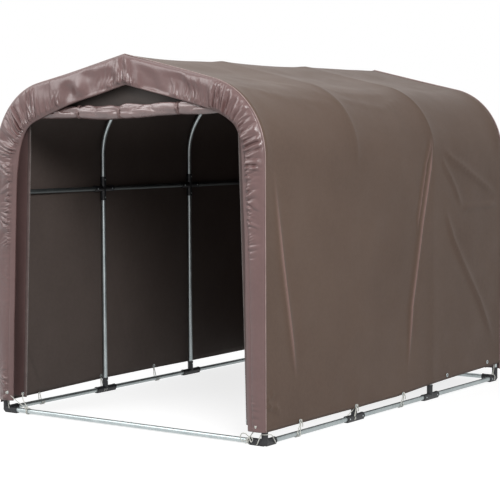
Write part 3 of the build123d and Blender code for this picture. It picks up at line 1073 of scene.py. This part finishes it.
def repeat_tree(name, shape, sizes, material):
    """Geometry nodes that set one small shape at each point, turned along the point's direction."""
    tree = bpy.data.node_groups.new(name, "GeometryNodeTree")
    sockets = tree.interface
    sockets.new_socket(name="Geometry", in_out="INPUT", socket_type="NodeSocketGeometry")
    ids = {}
    for key, value in sizes.items():
        socket = sockets.new_socket(name=key, in_out="INPUT", socket_type="NodeSocketFloat")
        socket.default_value = value
        ids[key] = socket.identifier
    sockets.new_socket(name="Geometry", in_out="OUTPUT", socket_type="NodeSocketGeometry")
    entry, out = tree.nodes.new("NodeGroupInput"), tree.nodes.new("NodeGroupOutput")
    direction = node(tree, "GeometryNodeInputNamedAttribute", {"Name": "direction"}, data_type="FLOAT_VECTOR")
    heading = direction.outputs["Attribute"]
    turn = node(tree, "FunctionNodeAlignRotationToVector", {"Vector": heading}, axis="Z")
    dots = node(tree, "GeometryNodeMeshToPoints", {"Mesh": entry.outputs["Geometry"]})
    copies = {
        "Points": dots.outputs["Points"],
        "Instance": shape(tree, entry.outputs),
        "Rotation": turn.outputs["Rotation"],
    }
    placed = node(tree, "GeometryNodeInstanceOnPoints", copies)
    real = node(tree, "GeometryNodeRealizeInstances", {"Geometry": placed.outputs["Instances"]})
    finish = {"Geometry": real.outputs["Geometry"], "Material": material}
    finished = node(tree, "GeometryNodeSetMaterial", finish)
    tree.links.new(finished.outputs["Geometry"], out.inputs["Geometry"])
    return tree, ids


def repeated(name, points, directions, shape, sizes, material):
    """A plain mesh of small pieces at many points."""
    mesh = bpy.data.meshes.new(name + "_points")
    mesh.from_pydata([tuple(point) for point in points], [], [])
    attribute = mesh.attributes.new("direction", "FLOAT_VECTOR", "POINT")
    attribute.data.foreach_set("vector", np.array(directions, np.float32).ravel())
    holder = add_object(name + "_points", mesh)
    tree, ids = repeat_tree(name, shape, sizes, material)
    modifier = holder.modifiers.new(name, "NODES")
    modifier.node_group = tree
    for key, value in sizes.items():
        modifier[ids[key]] = value
    bpy.context.view_layer.update()
    evaluated = holder.evaluated_get(bpy.context.evaluated_depsgraph_get())
    made = bpy.data.meshes.new_from_object(evaluated)
    made.name = name
    holder.modifiers.remove(modifier)
    bpy.data.objects.remove(holder)
    for polygon in made.polygons:
        polygon.use_smooth = shape is not zip_tooth
    new_piece(name, made)


def stretched(tree, shape, height):
    """A shape with its own height changed."""
    inputs = {"Geometry": shape, "Scale": (1.0, 1.0, height)}
    return node(tree, "GeometryNodeTransform", inputs).outputs["Geometry"]


def ball(tree, radius, segments, rings, height):
    """A ball of a given size, drawn out or flattened along its direction."""
    inputs = {"Segments": segments, "Rings": rings, "Radius": radius}
    return stretched(tree, node(tree, "GeometryNodeMeshUVSphere", inputs).outputs["Mesh"], height)


def circle(tree, radius, resolution):
    inputs = {"Resolution": resolution, "Radius": radius}
    return node(tree, "GeometryNodeCurvePrimitiveCircle", inputs).outputs["Curve"]


def eyelet_ring(tree, sizes):
    curves = {
        "Curve": circle(tree, sizes["Ring Radius"], 28),
        "Profile Curve": circle(tree, sizes["Ring Wall"], 10),
    }
    return stretched(tree, node(tree, "GeometryNodeCurveToMesh", curves).outputs["Mesh"], 0.6)


def stitch(tree, sizes):
    return ball(tree, sizes["Thread Radius"], 6, 4, 3.4)


def screw_head(tree, sizes):
    return ball(tree, sizes["Head Radius"], 14, 8, 0.5)


def zip_tooth(tree, sizes):
    axes = {"X": sizes["Tooth Width"], "Y": sizes["Tooth Depth"], "Z": sizes["Tooth Height"]}
    size = node(tree, "ShaderNodeCombineXYZ", axes).outputs["Vector"]
    return node(tree, "GeometryNodeMeshCube", {"Size": size}).outputs["Mesh"]


def evenly(line, step):
    """Points at even steps along a line, and the line's direction at each."""
    line = np.array(line)
    lengths = np.concatenate([[0], np.cumsum(np.linalg.norm(np.diff(line, axis=0), axis=1))])
    at = np.arange(step / 2, lengths[-1], step)
    points = np.stack([np.interp(at, lengths, line[:, k]) for k in range(3)], -1)
    return points, np.gradient(points, axis=0)


def hem_line(side, above):
    """A line along a side hem on the outside of the top sheet."""
    ys = np.linspace(cover_low.y + 0.004, cover_high.y - 0.004, 500)
    z = hem_height(ys, right_hem_points if side > 0 else left_hem_points) + above
    s = side * (wall_start + bend_z - z)
    points, _ = gable_line(s)
    x = points[:, 0] + side * (cover_offset(s, points[:, 0], ys, z) + 0.0003)
    return np.stack([x, ys, z], -1)


stitch_length = 0.0055
thread_radius = 0.00042


def stitching():
    """Two rows of stitches in each side hem and one in each band's casing."""
    hems = [hem_line(side, above) for side in (-1, 1) for above in (hem_width - 0.003, 0.005)]
    for name, lines in (("hem_stitches", hems), ("casing_stitches", [front_casing_line, rear_casing_line])):
        points, directions = zip(*(evenly(line, stitch_length) for line in lines))
        sizes = {"Thread Radius": thread_radius}
        repeated(name, np.concatenate(points), np.concatenate(directions), stitch, sizes, thread)


def eyelets():
    """Metal eyelets in the side hems, at the bands' feet and at the door strips' feet."""
    places = []
    for side, hem in ((1, right_eyelets), (-1, left_eyelets)):
        places += [((side * (wall_x + 0.0006), y, z), (side, 0, 0)) for y, z in hem]
    face = band_face_y - 0.0045
    for x, z in (right_foot_eyelet, left_foot_eyelet):
        places += [((x, face, z), (0, -1, 0)), ((x, -face, z), (0, 1, 0))]
    for x, z in (left_strip_eyelet, right_strip_eyelet):
        places.append(((x, curtain_y - 0.0012, z), (0, -1, 0)))
    sizes = {"Ring Radius": 0.0076, "Ring Wall": 0.0024}
    repeated("eyelets", *zip(*places), eyelet_ring, sizes, bright_metal)


def zips():
    """The half of the zip on each side strip: its teeth and its tape."""
    sizes = {"Tooth Width": 0.0030, "Tooth Depth": 0.0026, "Tooth Height": 0.0020}
    for side, (name, line) in zip((-1, 1), zip_lines.items()):
        teeth = evenly(line - (side * 0.0030, 0.0012, 0), 0.0032)
        repeated(f"zip_teeth_{name}", *teeth, zip_tooth, sizes, zip_plastic)
        tape = np.stack([line + (side * offset, -0.0018, 0) for offset in np.linspace(-0.002, 0.013, 5)])
        mesh = grid_mesh(f"zip_tape_{name}", tape, flip=side > 0)
        add_thickness(new_piece(f"zip_tape_{name}", mesh, zip_tape), 0.0006)


def screws():
    """Screw heads in the side joints, and the buttons that lock the sills' splices."""
    places = []
    reach = joint_radius - 0.0006
    for y in arch_ys:
        for side in (-1, 1):
            for z in (rail_z - 0.045, rail_z + 0.045, sill_z + 0.042):
                places.append(((side * (leg_x - reach), y, z), (-side, 0, 0)))
            for along in (y - 0.055, y + 0.055):
                if front_y < along < rear_y:
                    places.append(((side * (leg_x - reach), along, rail_z), (-side, 0, 0)))
                    places.append(((side * (leg_x + reach), along, sill_z), (side, 0, 0)))
    repeated("joint_screws", *zip(*places), screw_head, {"Head Radius": 0.0036}, bright_metal)
    top = sill_z + pipe_radius
    buttons = [((x, y, top), (0, 0, 1)) for x in (-0.030, 0.018) for y in (front_y, rear_y)]
    repeated("splice_buttons", *zip(*buttons), screw_head, {"Head Radius": 0.0042}, bright_metal)


stitching()
eyelets()
zips()
screws()

# Lights, floor and camera

def grey(level):
    return level, level, level, 1.0


def plain_floor():
    """A floor that keeps the shelter's shadow and looks white where it is seen or mirrored."""
    size = 30.0
    corners = [(-size, -size, 0), (size, -size, 0), (size, size, 0), (-size, size, 0)]
    floor = add_object("floor", shaded_mesh("floor", corners, [(0, 1, 2, 3)]))
    material = bpy.data.materials.new("floor")
    material.use_nodes = True
    tree = material.node_tree
    tree.nodes.clear()
    rays = tree.nodes.new("ShaderNodeLightPath").outputs
    shown = maths(tree, "MAXIMUM", rays["Is Camera Ray"], rays["Is Glossy Ray"])
    unseen = node(tree, "ShaderNodeBsdfDiffuse", {"Color": grey(0.30)}).outputs[0]
    shade = node(tree, "ShaderNodeBsdfDiffuse", {"Color": grey(0.36)}).outputs[0]
    white = node(tree, "ShaderNodeEmission", {"Color": grey(1.0), "Strength": 0.8}).outputs[0]
    seen = node(tree, "ShaderNodeAddShader", {0: shade, 1: white}).outputs[0]
    mix = node(tree, "ShaderNodeMixShader", {0: shown, 1: unseen, 2: seen}).outputs[0]
    node(tree, "ShaderNodeOutputMaterial", {"Surface": mix})
    floor.data.materials.append(material)


def area_light(name, place, aim, size, power):
    data = bpy.data.lights.new(name, "AREA")
    data.size = size
    data.energy = power
    light = add_object(name, data)
    light.location = place
    light.rotation_euler = (Vector(aim) - Vector(place)).to_track_quat("-Z", "Y").to_euler()


def white_world(strength):
    """An even light from all round, and plain white where it is seen, mirrored or shines through."""
    world = bpy.data.worlds.new("studio")
    bpy.context.scene.world = world
    world.use_nodes = True
    tree = world.node_tree
    tree.nodes.clear()
    rays = tree.nodes.new("ShaderNodeLightPath").outputs
    lighting = node(tree, "ShaderNodeBackground", {"Color": grey(1.0), "Strength": strength}).outputs[0]
    seen = node(tree, "ShaderNodeBackground", {"Color": grey(1.0), "Strength": 1.0}).outputs[0]
    direct = maths(tree, "MAXIMUM", rays["Is Camera Ray"], rays["Is Transmission Ray"])
    shown = maths(tree, "MAXIMUM", direct, rays["Is Glossy Ray"])
    mix = node(tree, "ShaderNodeMixShader", {0: shown, 1: lighting, 2: seen}).outputs[0]
    node(tree, "ShaderNodeOutputWorld", {"Surface": mix})


camera_place = (4.4277, -6.4152, 1.2937)
camera_yaw = math.radians(35.142)
camera_pitch = math.radians(4.1108)
camera_roll = math.radians(-0.1857)
camera_lens = 112.31


def photo_camera():
    """The camera that the photo was taken with, as far as it can be fitted."""
    data = bpy.data.cameras.new("camera")
    data.lens = camera_lens
    data.sensor_width = 36.0
    data.clip_end = 200.0
    camera = add_object("camera", data)
    level = math.cos(camera_pitch)
    forward = Vector((-math.sin(camera_yaw) * level, math.cos(camera_yaw) * level, -math.sin(camera_pitch)))
    right = Vector((math.cos(camera_yaw), math.sin(camera_yaw), 0))
    up = right.cross(forward)
    turned_right = right * math.cos(camera_roll) + up * math.sin(camera_roll)
    turned_up = up * math.cos(camera_roll) - right * math.sin(camera_roll)
    axes = Matrix((turned_right, turned_up, -forward)).transposed().to_4x4()
    camera.matrix_world = Matrix.Translation(camera_place) @ axes
    bpy.context.scene.camera = camera


# Finishes of the frame's own pipes and joints, by a part of their names
node_finishes = (("joint", black_joint), ("rails", darker_rail_pipe), ("side_sill", darker_sill_pipe))
for name, shown_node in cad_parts.items():
    if not shown_node.hide_render:
        finish = next((finish for word, finish in node_finishes if word in name), galvanised_pipe)
        shown_node.data.materials.clear()
        shown_node.data.materials.append(finish)

plain_floor()
white_world(0.38)
area_light("overhead", (-0.6, 0.6, 5.2), (0, 0, 0.9), 4.0, 33.0)
area_light("front_left", (-2.7, -3.8, 4.0), (0, -1.1, 1.2), 3.4, 130.0)
area_light("front_right", (4.0, -3.8, 3.4), (-0.2, -0.6, 0.5), 1.8, 185.0)
area_light("side", (6.5, 0.5, 3.6), (0.6, 0, 0.8), 3.0, 22.0)
photo_camera()
bpy.context.scene.view_settings.view_transform = "Standard"
